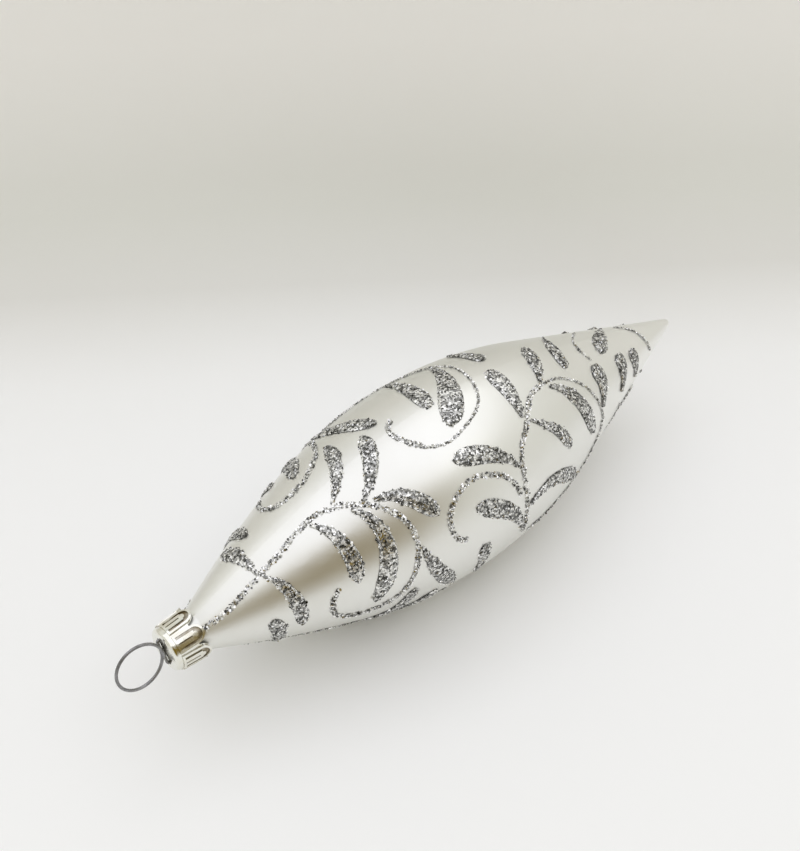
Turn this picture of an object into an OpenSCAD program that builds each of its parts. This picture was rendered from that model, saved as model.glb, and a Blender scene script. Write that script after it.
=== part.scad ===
// Olive ornament: a hand-blown glass spindle lying on its side, with a raised
// glitter scroll, a stamped crown cap and a spring-wire hanger.
// The ornament's own axis runs along X, with the cap at -X and the tip at +X.
// Along that axis, "station" is the distance from the cap's mouth towards the tip,
// and "turn" is the angle round it: 0 on top, 90 in front, 180 underneath.

/* [Glass body] */
// Length of the glass that shows, from the cap's mouth to the tip
body_len = 144; // [132:1:156]
// Diameter of the glass at its widest
belly_d = 44.4; // [41:0.2:48]
// Station of the widest place
belly_at = 64; // [58:1:70]
// Radius of the long curve over the belly
belly_arc = 101; // [90:1:112]
// Radius of the flatter curve from the neck to the belly
shoulder_arc = 260; // [200:5:340]
// Diameter of the neck tube
neck_d = 7.9; // [7.2:0.1:9]
// Height of the neck tube above the cap's mouth
neck_h = 6.2; // [5:0.1:8]
// Radius of the hollow where the neck runs into the shoulder
neck_fillet = 5; // [2:0.5:8]
// Thickness of the glass
wall = 0.8; // [0.5:0.05:1.1]
// Radius of the drawn-out tip
tip_r = 1.1; // [0.6:0.1:1.5]

/* [Crown cap] */
// Thickness of the stamped sheet
cap_sheet = 0.3; // [0.2:0.05:0.4]
// Room between the neck's rim and the underside of the cap's top
rim_gap = 0.1; // [0.05:0.05:0.3]
// Room between the neck and the cap's skirt, just under the top
neck_room = 0.35; // [0.2:0.05:0.6]
// Radius of the rounded edge of the cap's top
cap_corner = 0.8; // [0.5:0.1:1.2]
// How far the skirt spreads from its top to its mouth
cap_flare = 0.5; // [0.2:0.05:0.8]
// How far the petals reach past the start of the visible glass
cap_reach = 0.6; // [0:0.1:1.2]
// Number of arched petals round the skirt
petals = 7; // [6:1:8]
// Turn of the first petal
petal_turn = -11; // [-25:1:25]
// Bare groove left between two petals at the top of the skirt
petal_groove = 0.4; // [0.35:0.05:0.6]
// Height of the plain band above the petals
band_h = 0.9; // [0.6:0.1:1.5]
// How far a petal stands out of the skirt
petal_rise = 0.38; // [0.25:0.01:0.5]
// Width of the raised border round a petal
border_w = 0.42; // [0.3:0.02:0.46]
// Depth of the pressed field inside the border
field_depth = 0.28; // [0.1:0.01:0.35]
// Width of each of the two ribs down a petal
rib_w = 0.76; // [0.5:0.02:0.8]
// Groove between a petal's two ribs
rib_gap = 0.3; // [0.2:0.02:0.4]
// Diameter of the bead where the ribs meet
bead_d = 1.2; // [1:0.1:1.4]
// Depth of the notch between the ends of two petals
notch = 1.9; // [1.2:0.1:2.4]

/* [Wire hanger] */
// Diameter of the wire
wire_d = 0.65; // [0.5:0.05:0.8]
// Radius of the ring, to the middle of the wire
ring_r = 5; // [4:0.1:7]
// Turn of the ring's plane
ring_turn = -11; // [-30:1:30]
// Angle from the ring's plane to the line through the two holes
hole_twist = -24; // [-32:1:-12]
// Radius where a strand veers from the ring's plane towards its hole
veer_r = 2; // [1.5:0.1:2.5]
// Room between the wire and its hole
hole_gap = 0.15; // [0.1:0.01:0.25]
// Inside radius where the wire turns down into its hole, to the middle of the wire
bend_r = 0.45; // [0.42:0.01:0.6]
// Room between the two strands, and between the strands and the cap
strand_gap = 0.06; // [0.03:0.01:0.15]
// Room between a straight leg and the neck's bore
leg_room = 0.35; // [0.25:0.05:0.5]
// Room between a sprung leg's end and the neck's bore
spring_room = 0.1; // [0.05:0.05:0.2]
// Length of a leg's straight part, below the cap's top
leg_straight = 5; // [4.5:0.5:7]
// Length of a leg's sprung part
leg_sprung = 10; // [6:0.5:14]

/* [Glitter scroll] */
// Thickness of the glitter
glitter_h = 0.35; // [0.25:0.05:0.5]
// Room between the glass and the underside of the glitter
glue_gap = 0.1; // [0.08:0.01:0.15]
// Width of a stem
stem_w = 0.95; // [0.7:0.05:1.2]
// Width of a leaf whose drawn share is 1
leaf_w = 4; // [2.8:0.1:4.2]
// Turn of the whole scroll round the glass
scroll_turn = 2; // [-30:1:30]
// Number of scrolls round the neck
neck_scrolls = 3; // [2:1:3]
// Number of scrolls round the belly
belly_scrolls = 2; // [1:1:2]
// Number of sprigs round the tip
tip_sprigs = 3; // [2:1:3]

/* [Hidden] */
$fn = 64;
FULL_TURN = 360;
// How far a cut runs past what it cuts
OVERCUT = 1;
// How far one curve of a profile runs on under the next
LAP = 0.3;

// Colours of the four materials
GLASS_COLOUR = [0.80, 0.79, 0.76];
CAP_COLOUR = [0.76, 0.74, 0.69];
WIRE_COLOUR = [0.36, 0.36, 0.36];
GLITTER_COLOUR = [0.62, 0.62, 0.61];

// Glass profile: points are [radius, station]
neck_r = neck_d / 2;
belly_r = belly_d / 2;
bore_r = neck_r - wall;
belly_centre = [belly_r - belly_arc, belly_at];
arc_step = shoulder_arc - belly_arc;
from_belly = [neck_r, 0] - belly_centre;
shoulder_reach = (shoulder_arc^2 - arc_step^2 - from_belly * from_belly) / (2 * arc_step);
shoulder_turn = atan2(-from_belly[1], from_belly[0]) - acos(shoulder_reach / norm(from_belly));
shoulder_centre = belly_centre - arc_step * [cos(shoulder_turn), -sin(shoulder_turn)];
fillet_span = shoulder_arc + neck_fillet;
fillet_r = neck_r + neck_fillet;
fillet_at = shoulder_centre[1] - sqrt(fillet_span^2 - (fillet_r - shoulder_centre[0])^2);
fillet_centre = [fillet_r, fillet_at];
tip_centre = [0, body_len - tip_r];
to_tip = tip_centre - belly_centre;
tip_turn = atan2(to_tip[1], to_tip[0]) - acos((belly_arc - tip_r) / norm(to_tip));
tip_dir = [cos(tip_turn), sin(tip_turn)];

// Where one curve of the profile hands over to the next, at a depth inside the glass
function fillet_end(depth) =
    shoulder_centre + (fillet_centre - shoulder_centre) * (shoulder_arc - depth) / fillet_span;
function belly_start(depth) =
    belly_centre + (belly_arc - depth) * [cos(shoulder_turn), -sin(shoulder_turn)];
function belly_end(depth) = belly_centre + (belly_arc - depth) * tip_dir;
function hollow_tip(depth) = belly_end(depth)[1] + belly_end(depth)[0] / tan(tip_turn);
tip_start = tip_centre + tip_r * tip_dir;
round_start = fillet_end(0)[1];
arc_start = belly_start(0)[1];
cone_start = belly_end(0)[1];

// Crown cap
cap_top_r = neck_r + neck_room + cap_sheet;
cap_mouth_r = cap_top_r + cap_flare;
cap_top = -neck_h - rim_gap - cap_sheet;
skirt_top = cap_top + cap_corner;
petal_top = skirt_top + band_h - cap_corner / 2;
petal_end = cap_reach;
petal_w = 2 * PI * cap_top_r / petals - petal_groove;
petal_bow = petal_end - petal_w / 2;
skirt_end = petal_end - notch;
petal_cut = 2 * cap_mouth_r;

// Wire hanger, in a frame whose X lies in the ring's plane
wire_r = wire_d / 2;
// The strands are drawn a hair thinner than the ring, and start just inside its ends
strand_trim = 0.01;
strand_r = wire_r - strand_trim;
strand_lap = 0.1;
hole_r = wire_r + hole_gap;
leg_r = bore_r - leg_room - wire_r;
strand_y = wire_r + strand_gap;
strand_z = cap_top - strand_gap - wire_r;
ring_tilt = asin(strand_y / (2 * ring_r));
ring_far = strand_z - 2 * ring_r * cos(ring_tilt);
hole_at = leg_r * [cos(hole_twist), sin(hole_twist)];
veer_centre = [0, -strand_y - veer_r];
veer_span = hole_at - veer_centre;
veer = atan2(veer_span[0], veer_span[1]) - acos(veer_r / norm(veer_span));
veer_end = veer_centre + veer_r * [sin(veer), cos(veer)];
run_len = norm(hole_at - veer_end) - bend_r;
sprung_drop = cap_top + leg_straight - strand_z;
sprung_out = leg_room - spring_room;
sprung_r = leg_sprung^2 / (2 * sprung_out);
sprung_turn = acos(1 - sprung_out / sprung_r);

// The ornament lies on its side, with the middle of its length over the origin
length_mid = (ring_far - wire_r + body_len) / 2;
axis_h = belly_r + glue_gap + glitter_h;

// Glitter strokes: each point is [station, turn], with this many stations from the cap to the tip
stations = 144;
stem_steps = 3;
leaf_steps = [0, 0.1, 0.2, 0.3, 0.4, 0.5, 0.6, 0.7, 0.8, 0.88, 0.95, 1];
leaf_root = 0.16;
leaf_taper = 1.15;
leaf_end = 0.78;
stem_section = [[-0.5, 0], [0.5, 0], [0.3, 1], [-0.3, 1]];
leaf_section = [[-0.5, 0], [0, 0], [0.5, 0], [0.36, 0.8], [0, 1], [-0.36, 0.8]];

neck_stem = [
    [1, 40], [6.5, 33.5], [10, 26.5], [14, 21], [17.5, 18], [21.5, 14], [25, 11], [28.5, 11],
    [32.5, 15.5], [36.5, 24], [40, 35], [42.3, 49], [42.3, 64], [41, 77], [38.5, 91], [34, 100.5],
    [29, 103.5], [25, 98.5], [23.5, 87], [24.2, 75], [25.5, 69]];
belly_stem = [
    [69.5, 100], [70, 87], [70.5, 68], [72, 50], [77, 38], [80, 30], [83.5, 24.5], [88, 23], [92.5, 24],
    [96.5, 31], [99.5, 42], [101.5, 57], [102.2, 69], [102, 78], [99.5, 89], [95, 98], [88, 105.5],
    [79, 108], [72, 106]];
belly_curl = [
    [68.6, 70], [67.5, 61], [65.5, 54], [61.5, 48], [57.5, 46], [53.5, 50], [50.7, 57], [50.2, 66],
    [51.6, 73.5], [53.2, 75.5]];
crest_stem = [
    [46, -52], [56, -50], [65, -42], [71, -33], [74, -22], [74.4, -11], [73, 3], [70, 14], [65, 20],
    [59, 23], [55, 20], [52, 12], [50.6, 2], [51.3, -4.5], [53.2, -7.5]];
sprig_stem = [[113, -26], [109.5, -12.5], [106.8, 0], [106, 13], [106.8, 24]];
sprig_ring = [[125, -24], [127, -8], [128.5, 12], [129.5, 36], [130.3, 58], [130.6, 76]];

// Leaves: root, middle, tip and share of the full width
neck_leaf = [
    [[13.6, 17.5], [13.5, -14], [12.5, -44], 0.8],
    [[14.4, 25], [17.2, 56], [17.5, 94], 0.75],
    [[26.5, 14.2], [29.5, 38], [29.2, 69], 0.85],
    [[34.3, 23], [36.8, 52], [31.8, 92], 1],
    [[32.1, 12], [37.4, -4], [40.7, -25], 0.75],
    [[37.2, 22.8], [42.6, 9], [46.5, -10.5], 0.9],
    [[39, 26.5], [44.4, 35], [48.6, 53], 0.95],
    [[43.2, 65.8], [45.6, 86], [50.5, 108], 0.95]];
belly_leaf = [
    [[70.2, 54.6], [65, 40.5], [57, 33], 1.05],
    [[68.6, 94.2], [65, 76], [57, 61.5], 1.05],
    [[77, 33.4], [78.4, 17], [78.8, -2], 1.1],
    [[78.5, 37.5], [84, 51.5], [86.8, 67], 0.7],
    [[89.1, 26.2], [94.5, 44], [97, 77], 1.05],
    [[87.5, 20.2], [90.5, 8], [93.2, -10.5], 0.85],
    [[102.5, -23], [99.6, 0], [97.5, 20], 0.8],
    [[71, 81], [80.5, 79.5], [89, 97], 0.95],
    [[57, 112], [58, 100], [57.5, 87.5], 0.85]];
crest_leaf = [
    [[62.5, -42], [62.3, -20], [61.2, 0], 1],
    [[71.4, -27.6], [68.6, -6], [61.3, 16], 1.35],
    [[79, -38], [80.8, -23], [81.7, -12.5], 0.85]];
sprig_leaf = [
    [[103.1, 66.4], [106, 47], [105.4, 30], 1.2],
    [[113, 76], [116, 53], [116.2, 33], 1.05],
    [[121, 84], [122.3, 60], [121.7, 41], 0.95],
    [[120.5, -20], [116.2, 1], [111.8, 21], 1]];

// The glass's outer face: its radius and its outward direction at a station
function skin_r(z) =
    z < round_start ? fillet_centre[0] - sqrt(neck_fillet^2 - (z - fillet_at)^2) :
    z < arc_start ? shoulder_centre[0] + sqrt(shoulder_arc^2 - (z - shoulder_centre[1])^2) :
    z < cone_start ? belly_centre[0] + sqrt(belly_arc^2 - (z - belly_at)^2) :
    belly_end(0)[0] - (z - cone_start) * tan(tip_turn);
function skin_out(z) =
    z < round_start ? (fillet_centre - [skin_r(z), z]) / neck_fillet :
    z < arc_start ? ([skin_r(z), z] - shoulder_centre) / shoulder_arc :
    z < cone_start ? ([skin_r(z), z] - belly_centre) / belly_arc :
    tip_dir;
function over_skin(z, turn, height) =
    let (p = [skin_r(z), z] + height * skin_out(z)) [p[0] * cos(turn), p[0] * sin(turn), p[1]];
function on_body(p) = [p[0] * body_len / stations, p[1]];

// A smooth line through drawn points, and a leaf's bowed middle line
function weave(a, b, c, d, t) =
    b + t * (c - a) / 2 + t^2 * (a - 2.5 * b + 2 * c - d / 2) + t^3 * (1.5 * (b - c) + (d - a) / 2);
function stem_line(pts) =
    let (last = len(pts) - 1)
    concat(
        [for (i = [0 : last - 1], k = [0 : stem_steps - 1])
            weave(pts[max(i - 1, 0)], pts[i], pts[i + 1], pts[min(i + 2, last)], k / stem_steps)],
        [pts[last]]);
function leaf_line(root, mid, tip) =
    let (bow = 2 * mid - (root + tip) / 2)
    [for (t = leaf_steps) (1 - t)^2 * root + 2 * t * (1 - t) * bow + t^2 * tip];
function leaf_share(t) =
    t < leaf_end ? leaf_root + (1 - leaf_root) * sin(90 * t / leaf_end)^leaf_taper :
    max(leaf_root, sqrt(1 - ((t - leaf_end) / (1 - leaf_end))^2));

// Corners of one slice of a stroke, square to its line
function slice(line, i, width, section) =
    let (
        p = line[i],
        step = line[min(i + 1, len(line) - 1)] - line[max(i - 1, 0)],
        r = skin_r(p[0]),
        flat = skin_out(p[0])[0],
        along = [step[0] / flat, step[1] * PI * r / 180],
        side = [-along[1], along[0]] / norm(along),
        low = glue_gap + (width / 4)^2 / (2 * r))
    [for (q = section)
        over_skin(
            p[0] + q[0] * width * side[0] * flat,
            p[1] + q[0] * width * side[1] / r * 180 / PI,
            low + q[1] * glitter_h)];

NECK = [for (i = [1 : neck_scrolls]) str("neck_scroll_", i)];
NECK_LEAVES = [for (i = [1 : neck_scrolls]) str("neck_leaves_", i)];
BELLY = [for (i = [1 : belly_scrolls]) str("belly_scroll_", i)];
BELLY_LEAVES = [for (i = [1 : belly_scrolls]) str("belly_leaves_", i)];
CREST = [for (i = [1 : belly_scrolls]) str("crest_scroll_", i)];
CREST_LEAVES = [for (i = [1 : belly_scrolls]) str("crest_leaves_", i)];
SPRIG = [for (i = [1 : tip_sprigs]) str("tip_sprig_", i)];
SPRIG_LEAVES = [for (i = [1 : tip_sprigs]) str("tip_leaves_", i)];

// Lays a piece that stands on its axis down along X, with turn 0 on top
module lay() {
    translate([-length_mid, 0, axis_h])
        rotate([0, 90, 0])
            rotate([0, 0, 180])
                children();
}

// Everything of the half profile between two stations
module between(from, to) {
    intersection() {
        children();
        translate([0, from]) square([2 * belly_r, to - from]);
    }
}

// The glass's half profile, shrunk by a depth: 0 is the outer face, wall the hollow
module glass_profile(depth) {
    rim = depth > 0 ? neck_h + OVERCUT : neck_h;
    round_at = fillet_end(depth);
    arc_at = belly_start(depth);
    cone_at = belly_end(depth);
    translate([0, -rim]) square([neck_r - depth, rim + fillet_at + LAP]);
    difference() {
        translate([0, fillet_at]) square([round_at[0], round_at[1] - fillet_at]);
        translate(fillet_centre) circle(neck_fillet + depth);
    }
    between(round_at[1] - LAP, arc_at[1]) translate(shoulder_centre) circle(shoulder_arc - depth);
    between(arc_at[1] - LAP, cone_at[1] + LAP) translate(belly_centre) circle(belly_arc - depth);
    if (depth > 0) {
        polygon([[0, cone_at[1]], cone_at, [0, hollow_tip(depth)]]);
    } else {
        polygon([[0, cone_at[1]], cone_at, tip_start, [0, tip_start[1]]]);
        between(tip_start[1] - LAP, body_len) translate(tip_centre) circle(tip_r);
    }
}

// Blown glass, hollow from the neck's rim to the tip
module glass_bauble() {
    color(GLASS_COLOUR)
        lay()
            rotate_extrude()
                difference() {
                    glass_profile(0);
                    glass_profile(wall);
                }
}

// The cap's half profile down to a station, grown by a height above the skirt
module cap_profile(height, end) {
    sunk = min(height, 0);
    edge_r = cap_corner + sunk;
    reach = (end - skirt_top) / (petal_end - skirt_top);
    end_r = cap_top_r + cap_flare * reach;
    translate([0, cap_top - sunk]) square([cap_top_r - cap_corner, end - cap_top + sunk]);
    between(cap_top, skirt_top) translate([cap_top_r - cap_corner, skirt_top]) circle(edge_r);
    polygon([[0, skirt_top], [cap_top_r + height, skirt_top], [end_r + height, end], [0, end]]);
}

// A petal's flat outline, inset from its edge, with its bow towards +X
module petal_outline(inset) {
    translate([petal_top + inset, inset - petal_w / 2])
        square([petal_bow - petal_top - inset, petal_w - 2 * inset]);
    translate([petal_bow, 0]) circle(d = petal_w - 2 * inset);
}

// The two ribs down a petal and the bead where they meet
module rib_outline() {
    for (low = [rib_gap / 2, -rib_gap / 2 - rib_w])
        translate([petal_top, low]) square([petal_bow - petal_top, rib_w]);
    translate([petal_bow, 0]) circle(d = bead_d);
}

// Pushes a flat outline outwards from the neck's face
module outwards() {
    rotate([0, -90, 0])
        translate([0, 0, -petal_cut])
            linear_extrude(petal_cut - neck_r)
                children();
}

// One arched petal, solid to the neck's face
module petal() {
    intersection() {
        rotate_extrude()
            between(petal_top - OVERCUT, petal_end) cap_profile(petal_rise, petal_end);
        outwards() petal_outline(0);
    }
}

// The pressed field of a petal, inside its border and round its beaded ribs
module petal_field() {
    difference() {
        outwards() difference() {
            petal_outline(border_w);
            rib_outline();
        }
        rotate_extrude() cap_profile(petal_rise - field_depth, petal_end + OVERCUT);
    }
}

// Stamped crown cap with two holes for the hanger
module crown_cap() {
    color(CAP_COLOUR)
        lay()
            difference() {
                union() {
                    rotate_extrude() cap_profile(0, skirt_end);
                    for (i = [0 : petals - 1])
                        rotate(petal_turn + i * FULL_TURN / petals) petal();
                }
                rotate_extrude() cap_profile(-cap_sheet, petal_end + OVERCUT);
                for (i = [0 : petals - 1])
                    rotate(petal_turn + i * FULL_TURN / petals) petal_field();
                for (half = [0, 180])
                    rotate(ring_turn + hole_twist + half)
                        translate([leg_r, 0, cap_top - OVERCUT])
                            cylinder(r = hole_r, h = cap_sheet + 2 * OVERCUT);
            }
}

// An arc of wire that starts along +X at the origin and bends towards +Y
module wire_arc(radius, angle, thick) {
    translate([0, radius, 0])
        rotate(-90)
            rotate_extrude(angle = angle)
                translate([radius, 0]) circle(thick);
}

// One half of the hanger: half the ring, a strand across the cap, a bend and a sprung leg
module hanger_half() {
    translate([0, 0, ring_far])
        rotate([ring_tilt, 0, 0])
            rotate([90, 0, 180])
                wire_arc(ring_r, 180, wire_r);
    translate([-strand_lap, -strand_y, strand_z])
        rotate([0, 90, 0])
            cylinder(r = strand_r, h = strand_lap);
    translate([0, -strand_y, strand_z])
        rotate([180, 0, 0])
            wire_arc(veer_r, veer, strand_r);
    translate([veer_end[0], veer_end[1], strand_z])
        rotate(-veer) {
            rotate([0, 90, 0]) cylinder(r = strand_r, h = run_len);
            translate([run_len, 0, 0])
                rotate([90, 0, 0])
                    wire_arc(bend_r, 90, strand_r);
            translate([run_len + bend_r, 0, bend_r])
                cylinder(r = strand_r, h = sprung_drop - bend_r);
            translate([run_len + bend_r, 0, sprung_drop])
                rotate(hole_twist + veer)
                    rotate([-90, -90, 0])
                        wire_arc(sprung_r, sprung_turn, strand_r);
        }
}

// Spring wire: one length bent to a ring, with two legs into the neck
module wire_hanger() {
    color(WIRE_COLOUR)
        lay()
            rotate(ring_turn)
                for (half = [0, 180])
                    rotate(half) hanger_half();
}

// A raised stroke: slices along its line, joined by triangles
module stroke(line, widths, section) {
    n = len(section);
    last = len(line) - 1;
    points = [for (i = [0 : last]) each slice(line, i, widths[i], section)];
    sides = [for (i = [0 : last - 1], j = [0 : n - 1])
        let (a = i * n + j, b = i * n + (j + 1) % n)
        each [[a, b, a + n], [b, b + n, a + n]]];
    ends = [for (j = [1 : n - 2])
        each [[0, j + 1, j], [last * n, last * n + j, last * n + j + 1]]];
    polyhedron(points, concat(sides, ends));
}

module stem(pts) {
    line = stem_line([for (p = pts) on_body(p)]);
    stroke(line, [for (p = line) stem_w], stem_section);
}

module leaf(row) {
    line = leaf_line(on_body(row[0]), on_body(row[1]), on_body(row[2]));
    stroke(line, [for (t = leaf_steps) leaf_w * row[3] * leaf_share(t)], leaf_section);
}

// Strokes of one scroll out of a number that go round the body
module scroll(number, count) {
    color(GLITTER_COLOUR)
        lay()
            rotate(scroll_turn + (number - 1) * FULL_TURN / count)
                children();
}

module stems(number, count, lines) {
    scroll(number, count)
        for (pts = lines) stem(pts);
}

module leaves(number, count, rows) {
    scroll(number, count)
        for (row = rows) leaf(row);
}

glass_bauble();
crown_cap();
wire_hanger();
for (i = [1 : neck_scrolls]) {
    stems(i, neck_scrolls, [neck_stem]);
    leaves(i, neck_scrolls, neck_leaf);
}
for (i = [1 : belly_scrolls]) {
    stems(i, belly_scrolls, [belly_stem, belly_curl]);
    leaves(i, belly_scrolls, belly_leaf);
    stems(i, belly_scrolls, [crest_stem]);
    leaves(i, belly_scrolls, crest_leaf);
}
for (i = [1 : tip_sprigs]) {
    stems(i, tip_sprigs, [sprig_stem, sprig_ring]);
    leaves(i, tip_sprigs, sprig_leaf);
}
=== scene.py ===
import math

import bpy
import numpy as np
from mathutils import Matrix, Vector


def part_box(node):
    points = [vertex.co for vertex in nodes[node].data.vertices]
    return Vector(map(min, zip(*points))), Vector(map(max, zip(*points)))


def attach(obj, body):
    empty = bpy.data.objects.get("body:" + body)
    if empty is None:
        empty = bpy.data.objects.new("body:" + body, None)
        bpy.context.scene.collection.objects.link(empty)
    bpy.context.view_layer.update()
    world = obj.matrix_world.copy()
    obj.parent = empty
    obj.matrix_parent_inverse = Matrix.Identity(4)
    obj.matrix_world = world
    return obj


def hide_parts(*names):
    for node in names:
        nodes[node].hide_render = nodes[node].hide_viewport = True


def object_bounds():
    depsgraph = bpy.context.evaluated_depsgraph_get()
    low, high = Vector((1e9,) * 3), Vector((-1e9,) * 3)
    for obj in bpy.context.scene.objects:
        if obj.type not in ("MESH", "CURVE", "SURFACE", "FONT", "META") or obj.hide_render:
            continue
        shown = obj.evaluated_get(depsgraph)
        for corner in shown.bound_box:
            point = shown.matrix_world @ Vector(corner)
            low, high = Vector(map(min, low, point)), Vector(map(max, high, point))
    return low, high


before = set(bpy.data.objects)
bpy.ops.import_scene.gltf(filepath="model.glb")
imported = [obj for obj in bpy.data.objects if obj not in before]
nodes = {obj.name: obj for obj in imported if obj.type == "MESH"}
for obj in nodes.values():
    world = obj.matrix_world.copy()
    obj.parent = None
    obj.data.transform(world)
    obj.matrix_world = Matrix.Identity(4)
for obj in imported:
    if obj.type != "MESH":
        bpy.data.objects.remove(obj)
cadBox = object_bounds()
scene = bpy.context.scene
scene.view_settings.view_transform = "Standard"
print("stage 1: frame loaded,", len(nodes), "nodes")

mm = 0.001
axisHeight = (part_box("glass_bauble")[0].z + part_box("glass_bauble")[1].z) / 2


# Camera: fitted so that the ornament's outline lies on the photo's
cameraSetup = {
    "place": (-127.90 * mm, -131.60 * mm, 210.60 * mm),
    "azimuth": -41.958,
    "elevation": 43.329,
    "focalPixels": 1200.0,
    "longSide": 851.0,         # of the 800 x 851 frame
    "sensor": 36.0,
    "clip": (0.01, 20),
}


def makeCamera(s):
    data = bpy.data.cameras.new("studioCamera")
    data.sensor_width = s["sensor"]
    data.lens = s["focalPixels"] * s["sensor"] / s["longSide"]
    data.clip_start, data.clip_end = s["clip"]
    cam = bpy.data.objects.new("studioCamera", data)
    scene.collection.objects.link(cam)
    a, e = math.radians(s["azimuth"]), math.radians(s["elevation"])
    back = Vector((math.sin(a) * math.cos(e), -math.cos(a) * math.cos(e), math.sin(e)))
    cam.location = s["place"]
    cam.rotation_mode = "QUATERNION"
    cam.rotation_quaternion = (-back).to_track_quat("-Z", "Y")
    scene.camera = cam


makeCamera(cameraSetup)
print("stage 2: camera set")


# Small helpers for node trees
def newMaterial(name):
    mat = bpy.data.materials.new(name)
    mat.use_nodes = True
    mat.node_tree.nodes.clear()
    return mat, mat.node_tree


def put(tree, kind, at=(0, 0), **props):
    n = tree.nodes.new(kind)
    n.location = at
    for key, value in props.items():
        setattr(n, key, value)
    return n


def wire(tree, *pairs):
    for a, b in pairs:
        tree.links.new(a, b)


def ramp(tree, at, *stops):
    n = put(tree, "ShaderNodeValToRGB", at)
    el = n.color_ramp.elements
    el[0].position, el[0].color = stops[0][0], (*stops[0][1], 1)
    el[1].position, el[1].color = stops[-1][0], (*stops[-1][1], 1)
    for place, colour in stops[1:-1]:
        el.new(place).color = (*colour, 1)
    return n


def span(tree, at, low, high, toLow, toHigh):
    n = put(tree, "ShaderNodeMapRange", at, interpolation_type="SMOOTHSTEP")
    n.inputs["From Min"].default_value = low
    n.inputs["From Max"].default_value = high
    n.inputs["To Min"].default_value = toLow
    n.inputs["To Max"].default_value = toHigh
    return n


def makeGroup(name, inputs, outputs):
    g = bpy.data.node_groups.new(name, "ShaderNodeTree")
    for way, sockets in (("INPUT", inputs), ("OUTPUT", outputs)):
        for label, kind in sockets:
            g.interface.new_socket(label, in_out=way, socket_type=kind)
    return g, put(g, "NodeGroupInput", (-900, 0)), put(g, "NodeGroupOutput", (700, 0))


num, col = "NodeSocketFloat", "NodeSocketColor"


# Handling: broad soft clouds that dull a finish, and the fine tooth of its surface
handlingShape = {
    "cloudDetail": 5,
    "cloudRoughness": 0.6,
    "cloudEdge": (0.38, 0.72),
    "toothDetail": 2,
    "toothShare": 0.35,        # of the roughness that the tooth moves
}


def makeHandling(s):
    g, gi, go = makeGroup(
        "handledFinish",
        [("Base", col), ("Dulled", col), ("Cloud Size", num), ("Cloud Amount", num),
         ("Tooth Size", num), ("Smooth", num), ("Rough", num)],
        [("Color", col), ("Roughness", num), ("Height", num)])
    pos = put(g, "ShaderNodeTexCoord", (-900, -300))
    cloud = put(g, "ShaderNodeTexNoise", (-600, 150))
    cloud.inputs["Detail"].default_value = s["cloudDetail"]
    cloud.inputs["Roughness"].default_value = s["cloudRoughness"]
    tooth = put(g, "ShaderNodeTexNoise", (-600, -250))
    tooth.inputs["Detail"].default_value = s["toothDetail"]
    shape = span(g, (-380, 150), *s["cloudEdge"], 0, 1)
    amount = put(g, "ShaderNodeMath", (-180, 150), operation="MULTIPLY")
    tint = put(g, "ShaderNodeMix", (100, 250), data_type="RGBA")
    rough = put(g, "ShaderNodeMix", (100, 0), data_type="FLOAT")
    jitter = put(g, "ShaderNodeMath", (-180, -60), operation="MULTIPLY_ADD")
    jitter.inputs[1].default_value = s["toothShare"]
    wire(g, (pos.outputs["Object"], cloud.inputs["Vector"]),
         (pos.outputs["Object"], tooth.inputs["Vector"]),
         (gi.outputs["Cloud Size"], cloud.inputs["Scale"]),
         (gi.outputs["Tooth Size"], tooth.inputs["Scale"]),
         (cloud.outputs["Fac"], shape.inputs["Value"]),
         (shape.outputs["Result"], amount.inputs[0]),
         (gi.outputs["Cloud Amount"], amount.inputs[1]),
         (amount.outputs[0], tint.inputs["Factor"]), (gi.outputs["Base"], tint.inputs["A"]),
         (gi.outputs["Dulled"], tint.inputs["B"]), (tint.outputs["Result"], go.inputs["Color"]),
         (tooth.outputs["Fac"], jitter.inputs[0]), (amount.outputs[0], jitter.inputs[2]),
         (jitter.outputs[0], rough.inputs["Factor"]), (gi.outputs["Smooth"], rough.inputs["A"]),
         (gi.outputs["Rough"], rough.inputs["B"]),
         (rough.outputs["Result"], go.inputs["Roughness"]),
         (tooth.outputs["Fac"], go.inputs["Height"]))
    return g


handling = makeHandling(handlingShape)


def handled(tree, at, s, base, dulled):
    n = put(tree, "ShaderNodeGroup", at, node_tree=handling)
    values = {"Base": base, "Dulled": dulled, "Cloud Size": s["cloudSize"],
              "Cloud Amount": s["cloudAmount"], "Tooth Size": s["toothSize"],
              "Smooth": s["smooth"], "Rough": s["rough"]}
    for label, value in values.items():
        n.inputs[label].default_value = value
    return n


# Every finish on this ornament is a metal
def finishMaterial(tree, colour, rough, height, bump):
    out = put(tree, "ShaderNodeOutputMaterial", (700, 0))
    skin = put(tree, "ShaderNodeBsdfPrincipled", (400, 0))
    skin.inputs["Metallic"].default_value = 1
    dent = put(tree, "ShaderNodeBump", (150, -250))
    dent.inputs["Strength"].default_value = bump[0]
    dent.inputs["Distance"].default_value = bump[1]
    wire(tree, (colour, skin.inputs["Base Color"]), (rough, skin.inputs["Roughness"]),
         (height, dent.inputs["Height"]), (dent.outputs["Normal"], skin.inputs["Normal"]),
         (skin.outputs[0], out.inputs["Surface"]))


# Glass: silvered inside, satin outside
glassLook = {
    "silver": (0.825, 0.825, 0.79, 1),
    "dulled": (0.77, 0.765, 0.72, 1),
    "cloudSize": 38.0,
    "cloudAmount": 0.5,
    "toothSize": 4200.0,
    "smooth": 0.36,
    "rough": 0.44,
    "bump": (0.12, 0.02 * mm),
    "tipPaintedLight": (0.925, 0.925, 0.90),          # painted highlight: the glass is painted paler towards the tip, for the light the tip catches
    "tipFrom": 16 * mm,
    "tipFull": 72 * mm,
}


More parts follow.
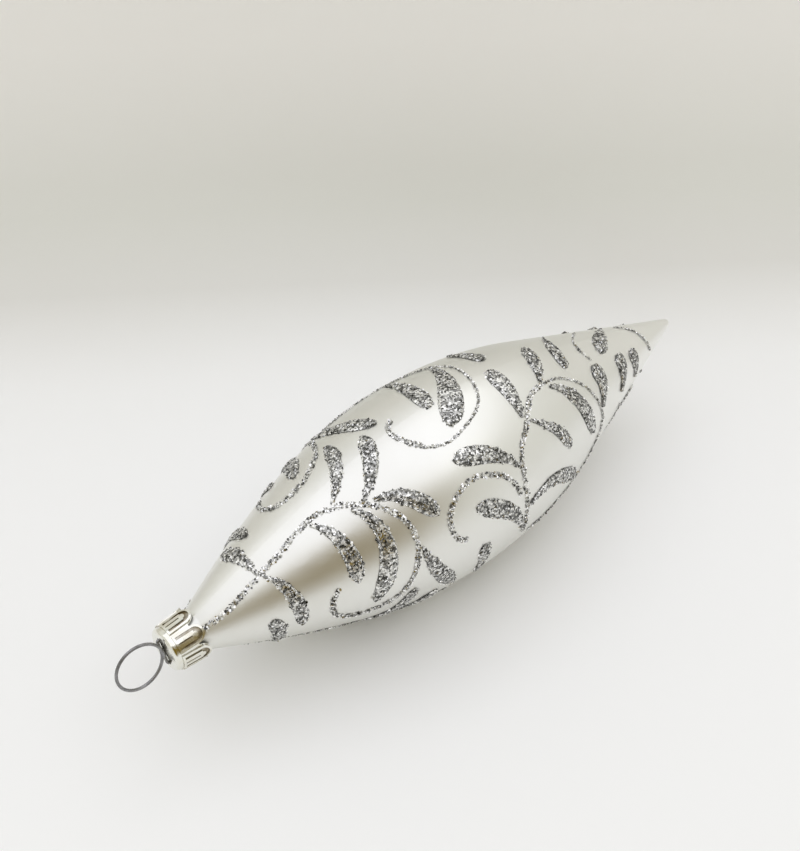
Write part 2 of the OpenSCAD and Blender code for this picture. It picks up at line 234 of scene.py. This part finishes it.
def satinGlass(s):
    mat, t = newMaterial("satinSilverGlass")
    h = handled(t, (-300, 0), s, s["silver"], s["dulled"])
    pos = put(t, "ShaderNodeTexCoord", (-700, 350))
    xyz = put(t, "ShaderNodeSeparateXYZ", (-500, 350))
    # Painted highlight: the glass colour is painted paler along the axis, from tipFrom to tipFull
    along = span(t, (-300, 350), s["tipFrom"], s["tipFull"], 0, 1)
    tint = put(t, "ShaderNodeMix", (0, 200), data_type="RGBA")
    tint.inputs["B"].default_value = (*s["tipPaintedLight"], 1)
    wire(t, (pos.outputs["Object"], xyz.inputs[0]), (xyz.outputs["X"], along.inputs["Value"]),
         (along.outputs["Result"], tint.inputs["Factor"]), (h.outputs["Color"], tint.inputs["A"]))
    finishMaterial(t, tint.outputs["Result"], h.outputs["Roughness"], h.outputs["Height"],
                   s["bump"])
    return mat


# Cap: thin stamped foil, bright on its ridges, with painted shade in the pressed fields: a brown
# darkening between a petal's foot and its ridges
capLook = {
    "silver": (0.86, 0.86, 0.80, 1),
    "gilt": (0.74, 0.70, 0.57, 1),
    "cloudSize": 420.0,
    "cloudAmount": 0.6,
    "toothSize": 2600.0,
    "smooth": 0.10,
    "rough": 0.24,
    "bump": (0.25, 0.04 * mm),
    "paintedShade": (0.17, 0.13, 0.07),
    "paintedShadePatch": 330.0,                       # the painted shade comes and goes from petal to petal
    "paintedShadeEdge": (0.35, 0.65),
    "paintedShadeLeast": 0.45,
    "skirtRadius": (4.60 * mm, 5.10 * mm),     # at the skirt's top and at its mouth
    "skirtAt": (-69.15 * mm, -62.75 * mm),
    "foot": (0.02 * mm, 0.07 * mm),            # heights over the skirt: a petal's foot
    "ridge": (0.13 * mm, 0.30 * mm),           # and the way up to its ridges
}


def stampedFoil(s):
    mat, t = newMaterial("stampedFoil")
    h = handled(t, (-500, 0), s, s["silver"], s["gilt"])
    pos = put(t, "ShaderNodeTexCoord", (-1700, -400))
    fromAxis = put(t, "ShaderNodeVectorMath", (-1500, -400), operation="SUBTRACT")
    fromAxis.inputs[1].default_value = (0, 0, axisHeight)
    across = put(t, "ShaderNodeVectorMath", (-1300, -500), operation="MULTIPLY")
    across.inputs[1].default_value = (0, 1, 1)
    radius = put(t, "ShaderNodeVectorMath", (-1100, -500), operation="LENGTH")
    xyz = put(t, "ShaderNodeSeparateXYZ", (-1300, -300))
    skirt = put(t, "ShaderNodeMapRange", (-1100, -300))
    ends = ("From Min", "From Max", "To Min", "To Max")
    for label, value in zip(ends, s["skirtAt"] + s["skirtRadius"]):
        skirt.inputs[label].default_value = value
    over = put(t, "ShaderNodeMath", (-900, -400), operation="SUBTRACT")
    foot = span(t, (-700, -300), *s["foot"], 0, 1)
    ridge = span(t, (-700, -550), *s["ridge"], 1, 0)
    paintedShadeMask = put(t, "ShaderNodeMath", (-450, -400), operation="MULTIPLY")
    patch = put(t, "ShaderNodeTexNoise", (-700, -800))
    patch.inputs["Scale"].default_value = s["paintedShadePatch"]
    strength = span(t, (-450, -700), *s["paintedShadeEdge"], s["paintedShadeLeast"], 1)
    left = put(t, "ShaderNodeMath", (-300, -500), operation="MULTIPLY")
    # Painted shade: the pressed fields between foot and ridge are darkened to a brown tone
    tint = put(t, "ShaderNodeMix", (-200, 100), data_type="RGBA")
    tint.inputs["B"].default_value = (*s["paintedShade"], 1)
    wire(t, (pos.outputs["Object"], fromAxis.inputs[0]), (fromAxis.outputs[0], across.inputs[0]),
         (across.outputs[0], radius.inputs[0]), (fromAxis.outputs[0], xyz.inputs[0]),
         (xyz.outputs["X"], skirt.inputs["Value"]), (radius.outputs["Value"], over.inputs[0]),
         (skirt.outputs["Result"], over.inputs[1]), (over.outputs[0], foot.inputs["Value"]),
         (over.outputs[0], ridge.inputs["Value"]), (foot.outputs["Result"], paintedShadeMask.inputs[0]),
         (ridge.outputs["Result"], paintedShadeMask.inputs[1]),
         (pos.outputs["Object"], patch.inputs["Vector"]),
         (patch.outputs["Fac"], strength.inputs["Value"]),
         (strength.outputs["Result"], left.inputs[0]),
         (paintedShadeMask.outputs[0], left.inputs[1]), (left.outputs[0], tint.inputs["Factor"]),
         (h.outputs["Color"], tint.inputs["A"]))
    finishMaterial(t, tint.outputs["Result"], h.outputs["Roughness"], h.outputs["Height"],
                   s["bump"])
    return mat


# Wire: drawn steel, dark with a dull shine
wireLook = {
    "steel": (0.30, 0.30, 0.305, 1),
    "tarnish": (0.13, 0.125, 0.12, 1),
    "cloudSize": 700.0,
    "cloudAmount": 0.7,
    "toothSize": 9000.0,
    "smooth": 0.2,
    "rough": 0.38,
    "bump": (0.2, 0.02 * mm),
}


def drawnWire(s):
    mat, t = newMaterial("drawnSteelWire")
    h = handled(t, (-300, 0), s, s["steel"], s["tarnish"])
    finishMaterial(t, h.outputs["Color"], h.outputs["Roughness"], h.outputs["Height"], s["bump"])
    return mat


# Glitter bed: the raised strokes that the loose flakes stand on
bedLook = {
    "grain": 2300.0,
    "dark": (0.06, 0.06, 0.055),
    "middle": (0.34, 0.34, 0.33),
    "light": (0.95, 0.95, 0.93),
    "stops": (0.12, 0.5, 0.86),
    "smooth": 0.22,
    "rough": 0.5,
    "bump": (0.9, 0.16 * mm),
}


def glitterBed(s):
    mat, t = newMaterial("glitterBed")
    pos = put(t, "ShaderNodeTexCoord", (-900, 0))
    cell = put(t, "ShaderNodeTexVoronoi", (-700, 0))
    cell.inputs["Scale"].default_value = s["grain"]
    split = put(t, "ShaderNodeSeparateColor", (-480, 0))
    tone = ramp(t, (-250, 150), *zip(s["stops"], (s["dark"], s["middle"], s["light"])))
    rough = span(t, (-250, -150), 0, 1, s["smooth"], s["rough"])
    wire(t, (pos.outputs["Object"], cell.inputs["Vector"]),
         (cell.outputs["Color"], split.inputs[0]),
         (split.outputs[0], tone.inputs["Fac"]), (split.outputs[1], rough.inputs["Value"]))
    finishMaterial(t, tone.outputs["Color"], rough.outputs["Result"], split.outputs[2], s["bump"])
    return mat


glassMat = satinGlass(glassLook)
capMat = stampedFoil(capLook)
wireMat = drawnWire(wireLook)
bedMat = glitterBed(bedLook)


def dress(node, mat):
    o = nodes[node]
    o.data.materials.clear()
    o.data.materials.append(mat)


loosePieces = {"glass_bauble": glassMat, "crown_cap": capMat, "wire_hanger": wireMat}
for n, mat in loosePieces.items():
    dress(n, mat)
glitterNodes = sorted(n for n in nodes if n not in loosePieces)
for n in glitterNodes:
    dress(n, bedMat)
print("stage 3: materials on", len(nodes), "nodes")


# Glitter: hexagonal chips, each tipped its own way. A leaf keeps its bed under them,
# a stem is nothing but flakes
flakeLook = {
    "leafPerSquareMm": 10.5,
    "stemPerSquareMm": 13.0,
    "finePerSquareMm": 30.0,     # stems are finer near the tip, the crest's from its curl on
    "fineFrom": 24 * mm,
    "crestFineFrom": -9.5 * mm,
    "fineSize": 0.78,
    "fineReach": 0.4,
    "flankFacing": 0.85,         # a stroke's sides face the glass's normal less than this
    "strayShare": 0.9,           # strays for each flake on a leaf's flank
    "strayReach": 0.16 * mm,
    "stemReach": 0.08 * mm,      # sideways from a stem's own stroke
    "radius": (0.15 * mm, 0.29 * mm),
    "sink": 0.05 * mm,           # of a chip's face into a leaf's bed
    "depth": 0.06 * mm,          # from a chip's face to its foot
    "inset": 0.01 * mm,          # kept inside the part's box
    "pile": (0.05 * mm, 0.26 * mm),      # heights over the glass
    "lean": 0.42,                # how far chips tip over
    "thinning": 0.28,            # most of a stem that is left bare, in slow waves
    "waves": 5,
    "wavePitch": 700.0,
    "waveTurn": 6.28,
    # for each kind of flake: its share, and its tone from and to
    "leafTones": ((0.28, 0.03, 0.14), (0.34, 0.35, 0.7), (0.38, 0.88, 1.0)),
    "stemTones": ((0.21, 0.05, 0.2), (0.38, 0.42, 0.72), (0.41, 0.88, 1.0)),
    "tint": (1, 1, 0.985),
    "speckSize": 6000,
    "speckEdge": (0.3, 0.7),
    "roughness": (0.14, 0.28),
    "bump": (0.1, 0.01 * mm),
    "seed": 17,
}


def flakeMaterial(s):
    mat, t = newMaterial("glitterFlake")
    tone = put(t, "ShaderNodeVertexColor", (-600, 100), layer_name="flakeTone")
    pos = put(t, "ShaderNodeTexCoord", (-800, -200))
    speck = put(t, "ShaderNodeTexNoise", (-600, -200))
    speck.inputs["Scale"].default_value = s["speckSize"]
    rough = span(t, (-350, -100), *s["speckEdge"], *s["roughness"])
    wire(t, (pos.outputs["Object"], speck.inputs["Vector"]),
         (speck.outputs["Fac"], rough.inputs["Value"]))
    finishMaterial(t, tone.outputs["Color"], rough.outputs["Result"], speck.outputs["Fac"],
                   s["bump"])
    return mat


flakeMat = flakeMaterial(flakeLook)


def triangles(o):
    me = o.data
    me.calc_loop_triangles()
    co = np.empty(len(me.vertices) * 3)
    me.vertices.foreach_get("co", co)
    tri = np.empty(len(me.loop_triangles) * 3, np.int32)
    me.loop_triangles.foreach_get("vertices", tri)
    return co.reshape(-1, 3)[tri.reshape(-1, 3)]


leastLength = 1e-12
leastOutward = 0.1         # cosine between a face and the way out from the axis
slopeStep = 0.5 * mm
stationDigits = 5          # a ring of the glass's mesh shares its station to 0.01 mm


def unit(v):
    return v / np.maximum(np.linalg.norm(v, axis=-1, keepdims=True), leastLength)


def outward(tri):          # faces that look away from the axis
    cross = np.cross(tri[:, 1] - tri[:, 0], tri[:, 2] - tri[:, 0])
    mid = tri.mean(1)
    out = unit(np.stack([np.zeros(len(tri)), mid[:, 1], mid[:, 2] - axisHeight], 1))
    return (unit(cross) * out).sum(1) > leastOutward


def glassProfile():
    tri = triangles(nodes["glass_bauble"])
    co = tri[outward(tri)].reshape(-1, 3)
    x, keep = np.unique(np.round(co[:, 0], stationDigits), return_index=True)
    return x, np.hypot(co[keep, 1], co[keep, 2] - axisHeight)


glassX, glassR = glassProfile()


def polar(p):
    return p[:, 0], np.arctan2(p[:, 1], p[:, 2] - axisHeight)


def overGlass(x, turn, height):
    r = np.interp(x, glassX, glassR) + height
    after, before = (np.interp(x + d, glassX, glassR) for d in (slopeStep, -slopeStep))
    slope = (after - before) / (2 * slopeStep)
    spot = np.stack([x, r * np.sin(turn), r * np.cos(turn) + axisHeight], 1)
    return spot, unit(np.stack([-slope, np.sin(turn), np.cos(turn)], 1))


def patchy(p, s, rng):     # slow swell along a stroke, from 0 to 1
    v = np.zeros(len(p))
    for _ in range(s["waves"]):
        v += np.sin(p @ rng.normal(size=3) * s["wavePitch"] + rng.uniform(0, s["waveTurn"]))
    return 1 / (1 + np.exp(-v))


def onFaces(tri, perSquareMm, rng):
    tri = tri[outward(tri)]       # the underside is glued to the glass
    cross = np.cross(tri[:, 1] - tri[:, 0], tri[:, 2] - tri[:, 0])
    area, face = np.linalg.norm(cross, axis=1) / 2, unit(cross)
    count = int(area.sum() / mm ** 2 * perSquareMm)
    pick = rng.choice(len(tri), count, p=area / area.sum())
    a, b = rng.random(count), rng.random(count)
    flip = a + b > 1
    a, b = np.where(flip, 1 - a, a), np.where(flip, 1 - b, b)
    t = tri[pick]
    spot = t[:, 0] + a[:, None] * (t[:, 1] - t[:, 0]) + b[:, None] * (t[:, 2] - t[:, 0])
    return spot, face[pick]


rim = 6                    # points round a chip's face
chipPoints = rim + 1       # and one for its foot
rimTurn = np.arange(rim) * 2 * math.pi / rim
cellFill = 0.42            # radius of a chip's face in its cell of the map


# One closed chip for each row of points: those round the flat face, and a foot in the glue
def chipMesh(name, co):
    count = len(co)
    corner = list(range(rim))
    start = [0]
    for k in range(rim):
        start.append(len(corner))
        corner += [(k + 1) % rim, k, rim]
    corner, start = np.array(corner, np.int32), np.array(start, np.int32)
    row = np.arange(count, dtype=np.int32)[:, None]
    me = bpy.data.meshes.new(name)
    me.vertices.add(count * chipPoints)
    me.vertices.foreach_set("co", co.astype(np.float32).ravel())
    me.loops.add(count * len(corner))
    me.loops.foreach_set("vertex_index", (row * chipPoints + corner).ravel())
    me.polygons.add(count * len(start))
    me.polygons.foreach_set("loop_start", (row * len(corner) + start).ravel())
    me.update(calc_edges=True)
    me.shade_flat()
    flat = np.concatenate([np.stack([np.cos(rimTurn), np.sin(rimTurn)], 1), [[0, 0]]])
    side = math.ceil(math.sqrt(count * 2))      # two cells for each chip: its face, and its sides
    cell = np.where(np.arange(len(corner)) < rim, 0, 1) + row * 2
    place = np.stack([cell % side, cell // side], -1) + (flat * cellFill + 0.5)[corner]
    uv = (place / side).astype(np.float32).ravel()
    me.uv_layers.new(name="OFBake").data.foreach_set("uv", uv)
    return me


def glassNormal(spot):     # at the glass under each spot
    return overGlass(*polar(spot), 0)[1]


# On a leaf: all over its bed, and strays that fell beside it on the glass
def leafSpots(tri, s, rng):
    spot, up = onFaces(tri, s["leafPerSquareMm"], rng)
    skin = glassNormal(spot)
    flank = (up * skin).sum(1) < s["flankFacing"]
    stray = spot[flank][rng.random(flank.sum()) < s["strayShare"]]
    spot, up = spot - up * s["sink"], unit(up + skin)
    x, turn = polar(stray + rng.normal(size=stray.shape) * s["strayReach"])
    strayAt, strayUp = overGlass(x, turn, rng.uniform(*s["pile"], len(x)))
    return np.concatenate([spot, strayAt]), np.concatenate([up, strayUp]), 1


# On a stem: a loose row right on the glass, where it is fine only along its top
def stemSpots(tri, s, rng, fineFrom):
    spot, up = onFaces(tri, s["finePerSquareMm"], rng)
    flank = (up * glassNormal(spot)).sum(1) < s["flankFacing"]
    fine = spot[:, 0] > fineFrom
    share = np.where(fine, ~flank, s["stemPerSquareMm"] / s["finePerSquareMm"])
    keep = rng.random(len(spot)) < share * (1 - s["thinning"] * patchy(spot, s, rng))
    spot, fine = spot[keep], fine[keep]
    reach = np.where(fine, s["fineReach"], 1) * s["stemReach"]
    x, turn = polar(spot + rng.normal(size=spot.shape) * reach[:, None])
    spot, up = overGlass(x, turn, rng.uniform(*s["pile"], len(x)))
    return spot, up, np.where(fine, s["fineSize"], 1)


def scatterFlakes(node, s, seed):
    rng = np.random.default_rng(seed)
    tri = triangles(nodes[node])
    leaf = "leaves" in node
    if leaf:
        spot, up, scale = leafSpots(tri, s, rng)
    else:
        fineFrom = s["crestFineFrom" if "crest" in node else "fineFrom"]
        spot, up, scale = stemSpots(tri, s, rng, fineFrom)
    count = len(spot)
    up = unit(up + s["lean"] * rng.normal(size=(count, 3)))
    side = unit(np.cross(up, rng.normal(size=(count, 3))))
    third = np.cross(up, side)
    size = rng.uniform(*s["radius"], count) * scale
    across = (np.cos(rimTurn)[None, :, None] * side[:, None] +
              np.sin(rimTurn)[None, :, None] * third[:, None])
    ring = spot[:, None] + size[:, None, None] * across
    foot = spot - up * s["depth"]
    low, high = np.array(cadBox[0]) + s["inset"], np.array(cadBox[1]) - s["inset"]
    co = np.clip(np.concatenate([ring, foot[:, None]], 1), low, high)
    me = chipMesh("flakes_" + node, co)
    share, lowTone, highTone = np.array(s["leafTones" if leaf else "stemTones"]).T
    kind = rng.choice(len(share), count, p=share)
    tone = lowTone[kind] + (highTone - lowTone)[kind] * rng.random(count)
    rgba = np.ones((count * chipPoints, 4), np.float32)
    rgba[:, :3] = np.repeat(tone, chipPoints)[:, None] * np.array(s["tint"])
    tones = me.color_attributes.new("flakeTone", "FLOAT_COLOR", "POINT")
    tones.data.foreach_set("color", rgba.ravel())
    me.materials.append(flakeMat)
    o = bpy.data.objects.new("flakes_" + node, me)
    scene.collection.objects.link(o)
    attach(o, "glass")
    if not leaf:
        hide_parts(node)
    return count


total = sum(scatterFlakes(n, flakeLook, flakeLook["seed"] + i)
            for i, n in enumerate(glitterNodes))
print("stage 4:", total, "flakes")


# Floor and backdrop: one pale sheet that runs flat, bends and goes up behind the ornament.
# Painted shade darkens it over the bend, and painted light makes it paler again up the wall
sweep = {
    "turn": 5.0,           # its wall stands a little nearer on the left
    "bendAt": 0.241,       # from below the camera
    "bendRadius": 0.04,
    "wallHeight": 0.105,
    "front": -3.0,
    "halfWidth": 4.0,
    "steps": 24,
    # painted shade and light by height: darker over the bend, paler towards the wall's top
    "tones": ((0.0, (0.945, 0.95, 0.947)), (0.13, (0.835, 0.835, 0.813)),
              (0.33, (0.848, 0.855, 0.818)), (0.85, (0.95, 0.94, 0.913)),
              (1.0, (0.955, 0.945, 0.918))),    # up to paintedShadeHeight
    "paintedShadeHeight": 0.09,
    "roughness": 0.75,
    "specular": 0.2,
    "fibreSize": 900,
    "bump": (0.05, 0.05 * mm),
}


def palePaper(s):
    mat, t = newMaterial("palePaper")
    pos = put(t, "ShaderNodeTexCoord", (-900, 0))
    xyz = put(t, "ShaderNodeSeparateXYZ", (-700, 0))
    # Painted shade and light: the sheet's colour follows its height, darker at the bend and paler
    # up the wall
    rise = put(t, "ShaderNodeMapRange", (-500, 0))
    rise.inputs["From Max"].default_value = s["paintedShadeHeight"]
    tint = ramp(t, (-300, 0), *s["tones"])
    fibre = put(t, "ShaderNodeTexNoise", (-500, -300))
    fibre.inputs["Scale"].default_value = s["fibreSize"]
    paper = put(t, "ShaderNodeBsdfPrincipled", (0, 0))
    paper.inputs["Roughness"].default_value = s["roughness"]
    paper.inputs["Specular IOR Level"].default_value = s["specular"]
    dent = put(t, "ShaderNodeBump", (-200, -300))
    dent.inputs["Strength"].default_value = s["bump"][0]
    dent.inputs["Distance"].default_value = s["bump"][1]
    behind = put(t, "ShaderNodeNewGeometry", (0, 250))
    clear = put(t, "ShaderNodeBsdfTransparent", (0, -350))
    both = put(t, "ShaderNodeMixShader", (300, 0))
    out = put(t, "ShaderNodeOutputMaterial", (500, 0))
    wire(t, (pos.outputs["Object"], xyz.inputs[0]), (xyz.outputs["Z"], rise.inputs["Value"]),
         (rise.outputs["Result"], tint.inputs["Fac"]),
         (tint.outputs["Color"], paper.inputs["Base Color"]),
         (pos.outputs["Object"], fibre.inputs["Vector"]),
         (fibre.outputs["Fac"], dent.inputs["Height"]),
         (dent.outputs["Normal"], paper.inputs["Normal"]),
         (behind.outputs["Backfacing"], both.inputs[0]),
         (paper.outputs[0], both.inputs[1]), (clear.outputs[0], both.inputs[2]),
         (both.outputs[0], out.inputs["Surface"]))
    return mat


def makeSweep(s):
    a = math.radians(cameraSetup["azimuth"] + s["turn"])
    ahead = Vector((-math.sin(a), math.cos(a), 0))
    across = Vector((ahead.y, -ahead.x, 0))
    start = Vector((cameraSetup["place"][0], cameraSetup["place"][1], 0))
    profile = [(s["front"], 0.0)]
    r = s["bendRadius"]
    for k in range(s["steps"] + 1):
        t = math.pi / 2 * k / s["steps"]
        profile.append((s["bendAt"] + r * math.sin(t), r - r * math.cos(t)))
    profile.append((s["bendAt"] + r, s["wallHeight"]))
    verts, faces = [], []
    for d, h in profile:
        for w in (-s["halfWidth"], s["halfWidth"]):
            verts.append(start + ahead * d + across * w + Vector((0, 0, h)))
    for k in range(len(profile) - 1):
        faces.append((2 * k, 2 * k + 1, 2 * k + 3, 2 * k + 2))
    me = bpy.data.meshes.new("paperSweep")
    me.from_pydata(verts, [], faces)
    me.shade_smooth()
    me.materials.append(palePaper(s))
    o = bpy.data.objects.new("paperSweep", me)
    scene.collection.objects.link(o)


makeSweep(sweep)


# Light: a wide overhead panel, a pale room, and a dim warm side in front
room = {
    "pale": (0.795, 0.79, 0.74),
    "roof": (0.235, 0.235, 0.26),          # overhead, where reflections add the panel to it
    "roofFrom": 0.70,
    "roofFull": 0.84,
    "dim": (0.18, 0.12, 0.01),
    "dimTowards": (-0.22, -0.88, 0.42),
    "dimFrom": 0.815,
    "dimFull": 0.965,
    "seen": (0.74, 0.73, 0.71),            # by the camera, past the sheet's edge
    "panelAt": (0.11, -0.035, 1.388),
    "panelSize": (2.3, 2.1),
    "panelTurn": -12.0,
    "panelPower": 15.3,
    "panelColour": (1.0, 1.0, 1.03),
}


def paleRoom(s):
    world = bpy.data.worlds.new("paleRoom")
    scene.world = world
    world.use_nodes = True
    t = world.node_tree
    t.nodes.clear()
    pos = put(t, "ShaderNodeTexCoord", (-1000, 0))
    aim = put(t, "ShaderNodeVectorMath", (-800, 0), operation="DOT_PRODUCT")
    aim.inputs[1].default_value = Vector(s["dimTowards"]).normalized()
    near = span(t, (-600, 0), s["dimFrom"], s["dimFull"], 0, 1)
    xyz = put(t, "ShaderNodeSeparateXYZ", (-800, 250))
    above = span(t, (-600, 250), s["roofFrom"], s["roofFull"], 0, 1)
    sky = ramp(t, (-500, 250), (0.0, s["pale"]), (1.0, s["roof"]))
    tone = put(t, "ShaderNodeMix", (-300, 0), data_type="RGBA")
    tone.inputs["B"].default_value = (*s["dim"], 1)
    lit = put(t, "ShaderNodeBackground", (-100, 0))
    seen = put(t, "ShaderNodeBackground", (-100, -200))
    seen.inputs["Color"].default_value = (*s["seen"], 1)
    path = put(t, "ShaderNodeLightPath", (-100, 400))
    both = put(t, "ShaderNodeMixShader", (150, 0))
    out = put(t, "ShaderNodeOutputWorld", (350, 0))
    wire(t, (pos.outputs["Generated"], aim.inputs[0]),
         (aim.outputs["Value"], near.inputs["Value"]),
         (pos.outputs["Generated"], xyz.inputs[0]), (xyz.outputs["Z"], above.inputs["Value"]),
         (above.outputs["Result"], sky.inputs["Fac"]), (sky.outputs["Color"], tone.inputs["A"]),
         (near.outputs["Result"], tone.inputs["Factor"]),
         (tone.outputs["Result"], lit.inputs["Color"]),
         (path.outputs["Is Camera Ray"], both.inputs[0]), (lit.outputs[0], both.inputs[1]),
         (seen.outputs[0], both.inputs[2]), (both.outputs[0], out.inputs["Surface"]))


def overheadPanel(s):
    data = bpy.data.lights.new("overheadPanel", "AREA")
    data.shape = "RECTANGLE"
    data.size, data.size_y = s["panelSize"]
    data.energy = s["panelPower"]
    data.color = s["panelColour"]
    lamp = bpy.data.objects.new("overheadPanel", data)
    scene.collection.objects.link(lamp)
    lamp.location = s["panelAt"]
    lamp.rotation_euler.z = math.radians(s["panelTurn"])
    lamp.visible_camera = False


paleRoom(room)
overheadPanel(room)
print("stage 5: floor and light")
